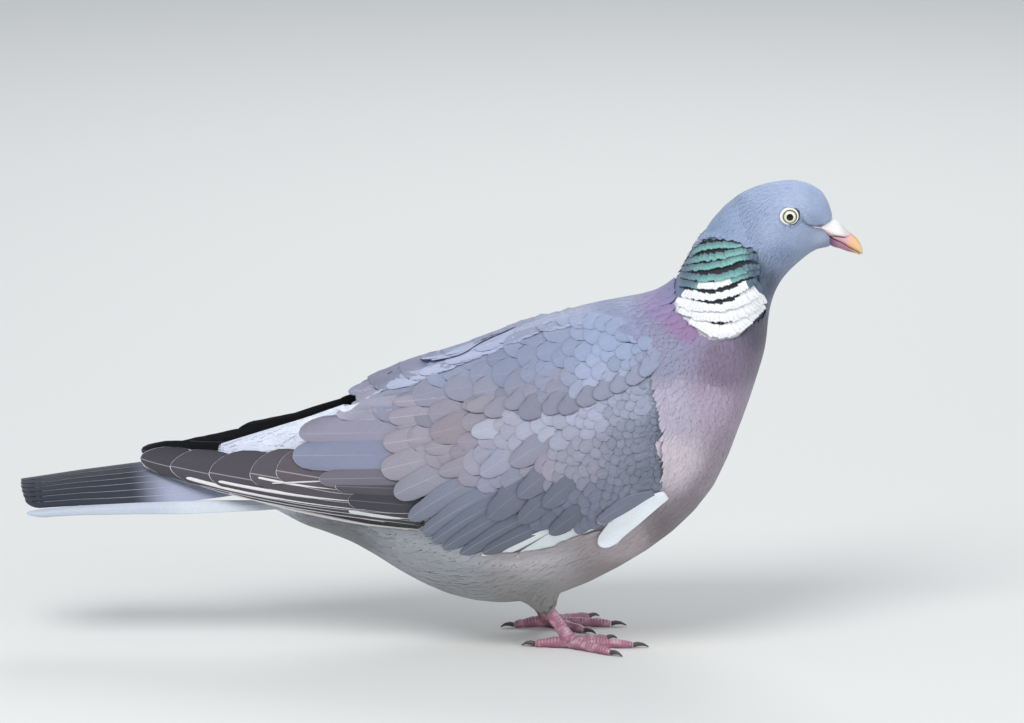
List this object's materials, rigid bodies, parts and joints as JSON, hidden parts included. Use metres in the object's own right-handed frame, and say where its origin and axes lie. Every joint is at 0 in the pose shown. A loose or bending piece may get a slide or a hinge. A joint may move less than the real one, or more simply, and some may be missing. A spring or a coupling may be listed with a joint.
{
  "type": "wood pigeon",
  "caption": "Life-size wood pigeon standing with folded wings, grey with a pinkish breast, a white neck patch and a green sheen on the neck",
  "frame": {"origin": "On the floor, under the middle of the bird's length and width", "axes": "The bill points to +X, the bird's left side is +Y and its back is up, +Z. The soles of both feet are at z = 0."},
  "size_m": [0.4008, 0.1148, 0.2237],
  "materials": {
    "head_plumage": "soft blue-grey feathers",
    "neck_plumage": "grey feathers with a green and purple sheen and a white patch",
    "body_plumage": "soft mauve to pale grey feathers",
    "wing_feathers": "smooth brownish-grey and blue-grey feathers",
    "flight_feathers": "dark feathers with pale edges",
    "tail_feathers": "slate feathers with a dark end",
    "thigh_plumage": "short pale grey feathers",
    "eye": "wet, pale yellow with a black pupil",
    "cere": "powdery white skin",
    "bill": "smooth horn, pink at the base and yellow at the tip",
    "leg_skin": "scaly purple-pink skin",
    "claw": "dark smooth horn"
  },
  "bodies": {
    "root": {"head": "head_plumage", "neck": "neck_plumage", "trunk": "body_plumage", "tail": "tail_feathers", "wing_coverts_r": "wing_feathers", "wing_coverts_l": "wing_feathers", "wing_secondaries_r": "wing_feathers", "wing_secondaries_l": "wing_feathers", "wing_primaries_r": "flight_feathers", "wing_primaries_l": "flight_feathers", "thigh_r": "thigh_plumage", "thigh_l": "thigh_plumage", "eye_r": "eye", "eye_l": "eye", "cere": "cere", "bill_upper": "bill", "bill_lower": "bill", "tarsus_r": "leg_skin", "tarsus_l": "leg_skin", "toe_inner_r": "leg_skin", "toe_middle_r": "leg_skin", "toe_outer_r": "leg_skin", "toe_hind_r": "leg_skin", "toe_inner_l": "leg_skin", "toe_middle_l": "leg_skin", "toe_outer_l": "leg_skin", "toe_hind_l": "leg_skin", "claw_inner_r": "claw", "claw_middle_r": "claw", "claw_outer_r": "claw", "claw_hind_r": "claw", "claw_inner_l": "claw", "claw_middle_l": "claw", "claw_outer_l": "claw", "claw_hind_l": "claw"}
  },
  "joints": []
}
